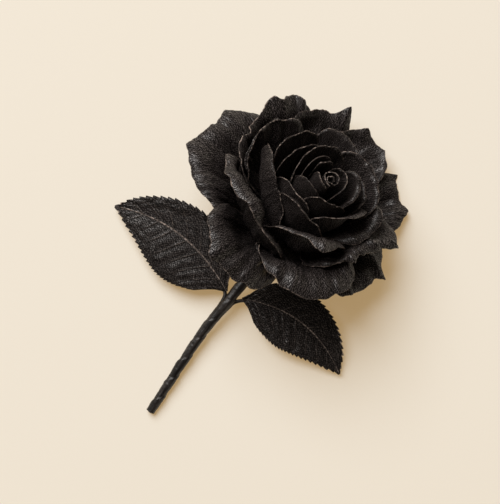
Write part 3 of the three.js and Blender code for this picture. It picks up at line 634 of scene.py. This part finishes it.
class Strand:
    """One socket of a shader tree; arithmetic on it adds Math nodes, and node() adds any other node."""

    def __init__(self, tree, socket=None):
        self.tree = tree
        self.socket = socket

    def node(self, kind, settings, inputs, output=0):
        """Adds a node of a kind, sets its settings first, then its sockets from values or links."""
        made = self.tree.nodes.new(kind)
        for name, value in settings.items():
            setattr(made, name, value)
        for key, value in inputs.items():
            if isinstance(value, Strand):
                self.tree.links.new(value.socket, made.inputs[key])
            else:
                made.inputs[key].default_value = value
        return Strand(self.tree, made.outputs[output] if made.outputs else None)

    def math(self, operation, *values):
        """A Math node on this value and others."""
        return self.node("ShaderNodeMath", {"operation": operation}, dict(enumerate((self, *values))))

    def __add__(self, other):
        return self.math("ADD", other)

    __radd__ = __add__

    def __mul__(self, other):
        return self.math("MULTIPLY", other)

    __rmul__ = __mul__

    def __sub__(self, other):
        return self.math("SUBTRACT", other)

    def __rsub__(self, other):
        return self * -1 + other

    def ramp(self, low, high):
        """This value spread from 0 at low to 1 at high, smooth at both ends."""
        settings = {"interpolation_type": "SMOOTHSTEP"}
        return self.node("ShaderNodeMapRange", settings, {0: self, 1: low, 2: high, 3: 0.0, 4: 1.0})

    def blend(self, first, second):
        """Two colours mixed by this value."""
        settings = {"data_type": "RGBA", "clamp_factor": True}
        return self.node("ShaderNodeMix", settings, {0: self, 6: first, 7: second}, output=2)

    def noise(self, scale, detail=2.0):
        """Noise texture at a scale, read at this vector."""
        return self.node("ShaderNodeTexNoise", {}, {"Vector": self, "Scale": scale, "Detail": detail})

    def part(self, axis):
        """One coordinate of this vector."""
        return self.node("ShaderNodeSeparateXYZ", {}, {"Vector": self}, output=axis)

    def bump(self, strength, distance):
        """A normal bent by this value as a height."""
        return self.node("ShaderNodeBump", {}, {"Strength": strength, "Distance": distance, "Height": self})


def new_finish(name):
    """An empty material tree: the material and the strand that starts its nodes."""
    material = bpy.data.materials.new(name)
    material.use_nodes = True
    material.node_tree.nodes.clear()
    return material, Strand(material.node_tree)


def close_finish(start, colour, roughness, normal, **fixed):
    """Joins colour, roughness and normal to the surface shader, with fixed values on its other sockets."""
    inputs = {"Base Color": colour, "Roughness": roughness, "Normal": normal}
    inputs.update({name.replace("_", " "): value for name, value in fixed.items()})
    shader = start.node("ShaderNodeBsdfPrincipled", {}, inputs)
    start.node("ShaderNodeOutputMaterial", {}, {"Surface": shader})


def grain_parts(start, pitch):
    """The shared crepe grain: the object vector, then weave, streaks and specks from 0 to 1.

    The weave is the sum of two sines over crossing slants of the grain map, in millimetres, each bent by
    its own noise, and broken up by a fine grit. The streaks are noise drawn out along the grain. The
    specks are fine noise, thinned out where a broad noise leaves the paper unworn.
    """
    grain = start.node("ShaderNodeUVMap", {"uv_map": "grain"}, {})
    place = start.node("ShaderNodeTexCoord", {}, {}, output=3)
    across = grain.part(0) * (1 / MM)
    up = grain.part(1) * (1 / MM)
    turn = 2 * math.pi / pitch
    left, right = [
        (across * turn + up * (slant * turn) + place.noise(scale, 1.0) * GRAIN_BEND).math("SINE")
        for slant, scale in GRAIN_WEAVES]
    grit = place.noise(1900.0, 1.0).ramp(0.36, 0.62)
    weave = (left + right).ramp(-0.7, 1.7) * (0.3 + grit * 0.7)
    drawn = start.node("ShaderNodeCombineXYZ", {}, {0: across * 1.2, 1: up * 0.12})
    streak = drawn.noise(1.0).ramp(0.3, 0.7)
    worn = place.noise(170.0).ramp(0.36, 0.62)
    speck = place.noise(950.0).ramp(0.44, 0.62) * (0.3 + worn * 0.7)
    return place, weave, streak, speck


def seen_rays(start):
    """One for the rays that show a background: from the camera, off a shine or through glass."""
    kinds = [start.node("ShaderNodeLightPath", {}, {}, output=kind) for kind in SEEN_RAYS]
    return kinds[0] + kinds[1] + kinds[2]


def edge_band(start, speck, width):
    """One at the cut edges, zero beyond a width from them, broken by specks: a pale frayed edge, partly
    painted highlight.

    The rim attribute is the distance to the edge.
    """
    rim = start.node("ShaderNodeAttribute", {"attribute_name": "rim"}, {}, output=2) * (1 / MM)
    return (1 - rim.ramp(0.0, width)) * (0.06 + speck * 0.94)


def vein_marks(start):
    """The midrib and the side veins of a leaf, from 0 to 1, by the count of veins on the blade map."""
    blade = start.node("ShaderNodeUVMap", {"uv_map": "blade"}, {})
    a = blade.part(0).math("ABSOLUTE")
    u = blade.part(1)
    count = (u - a * VEIN_SWEEP - a * a * VEIN_CURVE) * VEIN_COUNT + VEIN_START
    beside = (count - count.math("ROUND")).math("ABSOLUTE")
    side = (1 - beside.ramp(0.0, 0.045)) * (1.05 - a)
    middle = 1 - a.ramp(0.0, 0.035)
    return middle, side


def crepe_finish(name, deep, raised, edge, pitch, shine, fray, veins=False):
    """Crepe paper, black: painted shade in the grain's hollows, painted highlight on its ridges, pale frayed
    edges.

    With veins, thin pale lines follow the blade map: the midrib, and side veins that sweep to the tip.
    """
    material, start = new_finish(name)
    place, weave, streak, speck = grain_parts(start, pitch)
    broad = place.noise(130.0, 3.0).ramp(0.25, 0.75)
    height = weave * 0.7 + streak * 0.3
    tone = weave * (0.6 + broad * 0.3 + streak * 0.3)
    # Painted shade and highlight: the grain's hollows take the dark colour and its ridges the pale one, as
    # light would fall on the relief, over the paper's own black
    colour = tone.blend(deep, raised)
    if veins:
        middle, side = vein_marks(start)
        vein = (side * 0.3).math("MAXIMUM", middle) * (0.16 + speck * 0.8)
        colour = vein.blend(colour, edge)
        height = height + side.math("MAXIMUM", middle) * 0.8
    # Pale frayed edges, partly a painted highlight where the rims catch the light
    colour = edge_band(start, speck, fray).blend(colour, edge)
    close_finish(
        start, colour, 0.65, height.bump(CREPE_RELIEF, CREPE_DEPTH), Specular_IOR_Level=0.1,
        Coat_Weight=tone * shine, Coat_Roughness=0.38, Coat_IOR=1.7)
    return material


def tape_finish(name, deep, raised, edge):
    """Waxy wound tape: dark with a soft shine, fine lengthwise crinkles paler where raised, and pale lap
    edges, partly painted highlight.
    """
    material, start = new_finish(name)
    place, weave, streak, speck = grain_parts(start, TAPE_GRAIN)
    tone = streak * 0.6 + speck * 0.2
    colour = (tone * tone).blend(deep, raised)
    # Pale lap edges, partly a painted highlight where the laps catch the light
    colour = (edge_band(start, speck, TAPE_FRAY_AND_GLINT) * 0.5).blend(colour, edge)
    bump = (streak * 0.8 + weave * 0.2).bump(TAPE_RELIEF, CREPE_DEPTH)
    close_finish(start, colour, 0.4, bump, Specular_IOR_Level=0.4)
    return material


def wire_finish(name):
    """Bare cut steel wire, mottled by fine noise."""
    material, start = new_finish(name)
    place = start.node("ShaderNodeTexCoord", {}, {}, output=3)
    scratch = place.noise(2400.0)
    colour = scratch.blend(WIRE_DARK, WIRE_BRIGHT)
    close_finish(start, colour, 0.34 + scratch * 0.2, scratch.bump(0.3, 0.0001), Metallic=1.0)
    return material


def table_finish(name, stage):
    """Pale table: one paint for the rays that show it, and a plainer one for the light it throws back."""
    material, start = new_finish(name)
    place = start.node("ShaderNodeTexCoord", {}, {}, output=3)
    bump = place.noise(900.0).bump(0.05, 0.0005)
    matt = {"Roughness": 0.8, "Normal": bump}
    bounced = start.node("ShaderNodeBsdfPrincipled", {}, {"Base Color": stage.floor_bounce, **matt})
    darker = [0.98 * c for c in stage.floor_colour[:3]] + [1]
    colour = place.noise(3.0).blend(stage.floor_colour, darker)
    shown = start.node(
        "ShaderNodeBsdfPrincipled", {},
        {"Base Color": colour, **matt, "Specular IOR Level": 0.0, "Emission Color": stage.floor_glow,
         "Emission Strength": 1.0})
    surface = start.node("ShaderNodeMixShader", {}, {0: seen_rays(start), 1: bounced, 2: shown})
    start.node("ShaderNodeOutputMaterial", {}, {"Surface": surface})
    return material


def room_finish(tree, stage):
    """Light from all round, stronger towards the window, and a pale wall for the rays that show it."""
    start = Strand(tree)
    facing = start.node("ShaderNodeTexCoord", {}, {})
    dot = {"operation": "DOT_PRODUCT"}
    glow = start.node("ShaderNodeVectorMath", dot, {0: facing, 1: WINDOW_SIDE}, output=1)
    glow = glow.math("MAXIMUM", 0.0).math("POWER", 5.0)
    sky = {"Color": (*stage.sky_colour, 1), "Strength": 0.1 + glow * 0.5}
    light = start.node("ShaderNodeBackground", {}, sky)
    wall = start.node("ShaderNodeBackground", {}, {"Color": (*stage.wall_colour, 1), "Strength": 1.0})
    low = 1 - facing.part(2).ramp(0.2, 0.3)
    room = start.node("ShaderNodeMixShader", {}, {0: seen_rays(start) * low, 1: light, 2: wall})
    start.node("ShaderNodeOutputWorld", {}, {"Surface": room})


class RosePaper(PropertyGroup):
    """Paper sizes and colours."""

    petal_thickness: FloatProperty(
        name="Petal paper", description="Thickness of the petal paper in millimetres", default=0.36,
        min=0.1)
    leaf_thickness: FloatProperty(
        name="Leaf paper", description="Thickness of the leaf paper in millimetres", default=0.4,
        min=0.1)
    grain_pitch: FloatProperty(
        name="Grain pitch", description="Spacing of the crepe ridges in millimetres", default=1.05,
        min=0.2)
    # Petal hollow and ridge colours: the black paper with painted shade in the grain's hollows and painted
    # highlight on its ridges
    petal_paper_and_hollow_shade: FloatVectorProperty(
        name="Petal hollow", description="Colour in the hollows of the petal paper", subtype="COLOR",
        size=4, default=(0.004, 0.003, 0.0026, 1))
    petal_paper_and_ridge_highlight: FloatVectorProperty(
        name="Petal ridge", description="Colour on the ridges of the petal paper", subtype="COLOR",
        size=4, default=(0.105, 0.086, 0.082, 1))
    # Pale frayed edge colour, partly a painted highlight where the rims catch the light
    petal_edge_and_glint: FloatVectorProperty(
        name="Petal edge", description="Colour of the cut edges of the petal paper", subtype="COLOR",
        size=4, default=(0.44, 0.35, 0.3, 1))
    # Leaf hollow and ridge colours: the black paper with painted shade in the grain's hollows and painted
    # highlight on its ridges; the tape takes them too
    leaf_paper_and_hollow_shade: FloatVectorProperty(
        name="Leaf hollow", description="Colour in the hollows of the leaf paper", subtype="COLOR",
        size=4, default=(0.004, 0.003, 0.0026, 1))
    leaf_paper_and_ridge_highlight: FloatVectorProperty(
        name="Leaf ridge", description="Colour on the ridges of the leaf paper", subtype="COLOR",
        size=4, default=(0.07, 0.057, 0.052, 1))
    ruffle: FloatProperty(
        name="Ruffle", description="How much the outer rims wave", default=1.0, min=0)
    wrinkle: FloatProperty(
        name="Wrinkle", description="How deep the folds of the petals are", default=1.0, min=0)


class RoseStage(PropertyGroup):
    """Light, floor and camera."""

    key_power: FloatProperty(
        name="Key light", description="Power of the large lamp", default=180.0, min=0, subtype="POWER")
    key_colour: FloatVectorProperty(
        name="Key colour", description="Colour of the large lamp", subtype="COLOR",
        default=(1.04, 1.01, 0.99))
    sky_colour: FloatVectorProperty(
        name="Surrounding light", description="Colour of the light from all round", subtype="COLOR",
        default=(0.66, 0.57, 0.45))
    floor_colour: FloatVectorProperty(
        name="Floor", description="Colour of the table", subtype="COLOR", size=4,
        default=(0.56, 0.625, 0.655, 1))
    floor_glow: FloatVectorProperty(
        name="Floor glow", description="Pale colour that the table shows even in shadow", subtype="COLOR",
        size=4, default=(0.362, 0.236, 0.104, 1))
    floor_bounce: FloatVectorProperty(
        name="Floor bounce", description="Colour that the table throws back on the rose", subtype="COLOR",
        size=4, default=(0.3, 0.25, 0.2, 1))
    wall_colour: FloatVectorProperty(
        name="Wall", description="Pale colour behind the table's far edge", subtype="COLOR",
        default=(0.86, 0.77, 0.63))
    lens: FloatProperty(
        name="Lens", description="Focal length of the camera", default=95.5, subtype="DISTANCE_CAMERA")
    height: FloatProperty(
        name="Camera height", description="Height of the camera over the table", default=0.56,
        unit="LENGTH")
    turn: FloatProperty(
        name="Camera turn", description="Turn of the picture about the vertical", default=math.radians(35),
        subtype="ANGLE")


def petal_paper(context):
    """The petals' material, made once."""
    known = bpy.data.materials.get("petal_crepe")
    paper = context.scene.rose_paper
    return known or crepe_finish(
        "petal_crepe", paper.petal_paper_and_hollow_shade, paper.petal_paper_and_ridge_highlight, paper.petal_edge_and_glint, paper.grain_pitch,
        PETAL_SHINE, PETAL_FRAY_AND_GLINT)


def leaf_paper(context):
    """The leaves' material, made once."""
    known = bpy.data.materials.get("leaf_crepe")
    paper = context.scene.rose_paper
    return known or crepe_finish(
        "leaf_crepe", paper.leaf_paper_and_hollow_shade, paper.leaf_paper_and_ridge_highlight, paper.petal_edge_and_glint, paper.grain_pitch,
        LEAF_SHINE, LEAF_FRAY_AND_GLINT, veins=True)


def stem_tape(context):
    """The stem's and stalks' material, made once."""
    known = bpy.data.materials.get("stem_tape_wax")
    paper = context.scene.rose_paper
    return known or tape_finish("stem_tape_wax", paper.leaf_paper_and_hollow_shade, paper.leaf_paper_and_ridge_highlight, paper.petal_edge_and_glint)


class ROSE_OT_petals(Operator):
    """Build the thirty crepe paper petals."""

    bl_idname = "rose.petals"
    bl_label = "Petals"

    def execute(self, context):
        paper = context.scene.rose_paper
        material = petal_paper(context)
        for seed, (name, petal) in enumerate(PETALS.items()):
            outer = np.clip((petal.layer - 1.5) / 5, 0, 1)
            width = math.radians(petal.span[1] - petal.span[0]) * np.mean(petal.reach)
            rows = int(np.clip(width / PETAL_STEP, *PETAL_ROWS))
            s, t = np.broadcast_arrays(np.linspace(-1, 1, rows)[:, None], PETAL_STATIONS[None, :])
            ruffle = paper.ruffle * (0.45 + 0.65 * outer)
            wrinkle = paper.wrinkle * (0.1 + 0.42 * outer)
            points = bloom_to_part(petal_surface(petal, s, t, ruffle, wrinkle, 100 + 10 * seed))
            points[..., 2] = np.maximum(points[..., 2], paper.petal_thickness / 2 + TABLE_GAP)
            up = run_length(points, 1)
            from_rim = up[:, -1:] - up
            across = run_length(points, 0)
            from_side = np.minimum(across, across[-1:] - across)
            middle = rows // 2
            flat = s * across[-1:] / 2
            uv = np.stack([flat, 0 * s + up[middle : middle + 1]], axis=-1) * MM
            rim = (np.minimum(from_rim, from_side) + INNER_EDGE * (1 - outer)) * MM
            piece = paper_sheet(name + "_paper", points, paper.petal_thickness, rim, uv, material)
            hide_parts(name)
        return {"FINISHED"}


class ROSE_OT_roll(Operator):
    """Build the wound strip at the heart of the bloom."""

    bl_idname = "rose.roll"
    bl_label = "Centre roll"

    def execute(self, context):
        paper = context.scene.rose_paper
        w, v = np.broadcast_arrays(np.linspace(0, 1, ROLL_ROWS)[:, None], ROLL_STATIONS[None, :])
        points = bloom_to_part(spiral_surface(w, v))
        up = run_length(points, 1)
        from_rim = up[:, -1:] - up
        across = run_length(points, 0)
        uv = np.stack([across, -from_rim], axis=-1) * MM
        rim = (from_rim + ROLL_EDGE) * MM
        piece = paper_sheet(
            "centre_roll_paper", points, paper.petal_thickness, rim, uv, petal_paper(context))
        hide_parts("centre_roll")
        return {"FINISHED"}


class ROSE_OT_calyx(Operator):
    """Build the star-shaped calyx under the bloom."""

    bl_idname = "rose.calyx"
    bl_label = "Calyx"

    def execute(self, context):
        paper = context.scene.rose_paper
        a = (np.arange(CALYX_ROWS) / CALYX_ROWS)[:, None]
        v = np.linspace(0, 1, CALYX_COLUMNS)[None, :]
        a, v = np.broadcast_arrays(a, v)
        points = bloom_to_part(calyx_surface(a, v))
        up = run_length(points, 1)
        from_rim = up[:, -1:] - up
        uv = np.stack([a * CALYX_MAP_LENGTH, up], axis=-1) * MM
        piece = paper_sheet(
            "calyx_paper", points, paper.leaf_thickness, from_rim * MM, uv, petal_paper(context), ring=True)
        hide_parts("calyx")
        return {"FINISHED"}


class ROSE_OT_stem(Operator):
    """Build the tape wound round the stem, and finish the bare wire at its cut end."""

    bl_idname = "rose.stem"
    bl_label = "Stem"

    def execute(self, context):
        share = np.linspace(0, 1, TAPE_ROWS)
        share = np.concatenate([share, share[::-1]])[:, None]
        outside = (np.arange(2 * TAPE_ROWS) < TAPE_ROWS)[:, None]
        turn = (2 * math.pi * np.arange(TAPE_SIDES) / TAPE_SIDES)[None, :]
        share, turn, outside = np.broadcast_arrays(share, turn, outside)
        radius = np.where(outside, tape_radius(share, turn), WIRE_DIAMETER / 2 + GLUE_GAP)
        points = tube_surface(STEM_LINE, share, turn, radius)
        uv = np.stack([turn * TAPE_MAP_RADIUS, share * TAPE_LENGTH], axis=-1) * MM
        quads = grid_quads(2 * TAPE_ROWS, TAPE_SIDES, wrap_rows=True, wrap_columns=True)[:, ::-1]
        rim = (1 - lap_place(share * TAPE_LENGTH / TAPE_PITCH, turn)) * TAPE_PITCH * MM
        piece = add_piece(
            "stem_tape_wound", points.reshape(-1, 3), quads, uv.reshape(-1, 2), rim.ravel(),
            stem_tape(context))
        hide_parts("stem_tape")
        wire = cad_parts["stem_wire"]
        wire.material_slots[0].material = wire_finish("cut_wire")
        return {"FINISHED"}


class ROSE_OT_leaves(Operator):
    """Build the two toothed leaves and their covered stalks."""

    bl_idname = "rose.leaves"
    bl_label = "Leaves"

    def execute(self, context):
        paper = context.scene.rose_paper
        for name, leaf in LEAVES.items():
            u, a = np.broadcast_arrays(
                np.linspace(0, 1, LEAF_ROWS)[:, None], np.linspace(-1, 1, LEAF_COLUMNS)[None, :])
            points = leaf_surface(leaf, a, u)
            points[..., 2] = np.maximum(points[..., 2], paper.leaf_thickness / 2)
            across = run_length(points, 1)
            from_side = np.minimum(across, across[:, -1:] - across)
            middle = LEAF_COLUMNS // 2
            along_rib = run_length(points, 0)[:, middle : middle + 1]
            uv = np.stack([across - across[:, middle : middle + 1], along_rib + 0 * a], axis=-1) * MM
            piece = paper_sheet(
                name + "_blade", points, paper.leaf_thickness, from_side * MM, uv, leaf_paper(context),
                blade=np.stack([a, u], axis=-1))
            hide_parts(name)
            share, turn = np.broadcast_arrays(
                np.linspace(0, 1, STALK_ROWS)[:, None],
                (2 * math.pi * np.arange(STALK_SIDES) / STALK_SIDES)[None, :])
            stalk = tube_surface(leaf["wire"], share, turn, stalk_radius(share, turn), flip=True)
            uv = np.stack([turn, share * STALK_MAP_LENGTH], axis=-1) * MM
            quads = grid_quads(STALK_ROWS, STALK_SIDES, wrap_columns=True)[:, ::-1]
            rim = (1 - lap_place(share * STALK_LAPS, turn)) * STALK_PITCH * MM
            piece = add_piece(
                name + "_stalk", stalk.reshape(-1, 3), quads, uv.reshape(-1, 2), rim.ravel(),
                stem_tape(context))
            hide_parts(name + "_wire")
        return {"FINISHED"}


class ROSE_OT_stage(Operator):
    """Set the table, the lights and the camera."""

    bl_idname = "rose.stage"
    bl_label = "Stage"

    def execute(self, context):
        stage = context.scene.rose_stage
        mesh = bpy.data.meshes.new("table")
        half = TABLE_HALF
        corners = [(-half, -half, 0), (half, -half, 0), (half, half, 0), (-half, half, 0)]
        mesh.from_pydata(corners, [], [(0, 1, 2, 3)])
        mesh.materials.append(table_finish("table_paint", stage))
        table = bpy.data.objects.new("table", mesh)
        context.collection.objects.link(table)

        world = bpy.data.worlds.new("room")
        context.scene.world = world
        world.use_nodes = True
        world.node_tree.nodes.clear()
        room_finish(world.node_tree, stage)

        lamp = bpy.data.lights.new("window", "AREA")
        lamp.shape = "DISK"
        lamp.size = WINDOW_WIDTH
        lamp.energy = stage.key_power
        lamp.color = stage.key_colour
        window = bpy.data.objects.new("window", lamp)
        window.location = WINDOW_AWAY * Vector(WINDOW_SIDE)
        aim = Vector(WINDOW_AIM) - window.location
        window.rotation_euler = aim.to_track_quat("-Z", "Y").to_euler()
        context.collection.objects.link(window)

        camera = bpy.data.objects.new("camera", bpy.data.cameras.new("camera"))
        camera.data.lens = stage.lens
        camera.data.sensor_width = CAMERA_SENSOR
        camera.data.clip_start = CAMERA_NEAR
        camera.location = (CAMERA_X, CAMERA_Y, stage.height)
        camera.rotation_euler = (0, 0, stage.turn)
        context.collection.objects.link(camera)
        context.scene.camera = camera
        context.scene.view_settings.view_transform = "Standard"
        return {"FINISHED"}


OPERATORS = [
    ROSE_OT_petals, ROSE_OT_roll, ROSE_OT_calyx, ROSE_OT_stem, ROSE_OT_leaves, ROSE_OT_stage,
]


class ROSE_PT_panel(Panel):
    """Lists the rose's sizes, colours and pieces."""

    bl_idname = "ROSE_PT_panel"
    bl_label = "Crepe Paper Rose"
    bl_space_type = "VIEW_3D"
    bl_region_type = "UI"
    bl_category = "Rose"

    def draw(self, context):
        for group in (context.scene.rose_paper, context.scene.rose_stage):
            for name in group.bl_rna.properties.keys():
                if name not in ("rna_type", "name"):
                    self.layout.prop(group, name)
        for operator in OPERATORS:
            self.layout.operator(operator.bl_idname)


CLASSES = [RosePaper, RoseStage, *OPERATORS, ROSE_PT_panel]


def register():
    """Registers the classes and hangs their settings on the scene."""
    for item in CLASSES:
        bpy.utils.register_class(item)
    bpy.types.Scene.rose_paper = PointerProperty(type=RosePaper)
    bpy.types.Scene.rose_stage = PointerProperty(type=RoseStage)


def unregister():
    """Takes the settings and the classes away again."""
    del bpy.types.Scene.rose_stage
    del bpy.types.Scene.rose_paper
    for item in reversed(CLASSES):
        bpy.utils.unregister_class(item)


def main():
    """Builds every piece and the stage."""
    register()
    bpy.ops.rose.stage()
    bpy.ops.rose.petals()
    bpy.ops.rose.roll()
    bpy.ops.rose.calyx()
    bpy.ops.rose.stem()
    bpy.ops.rose.leaves()


if __name__ == "__main__":
    main()
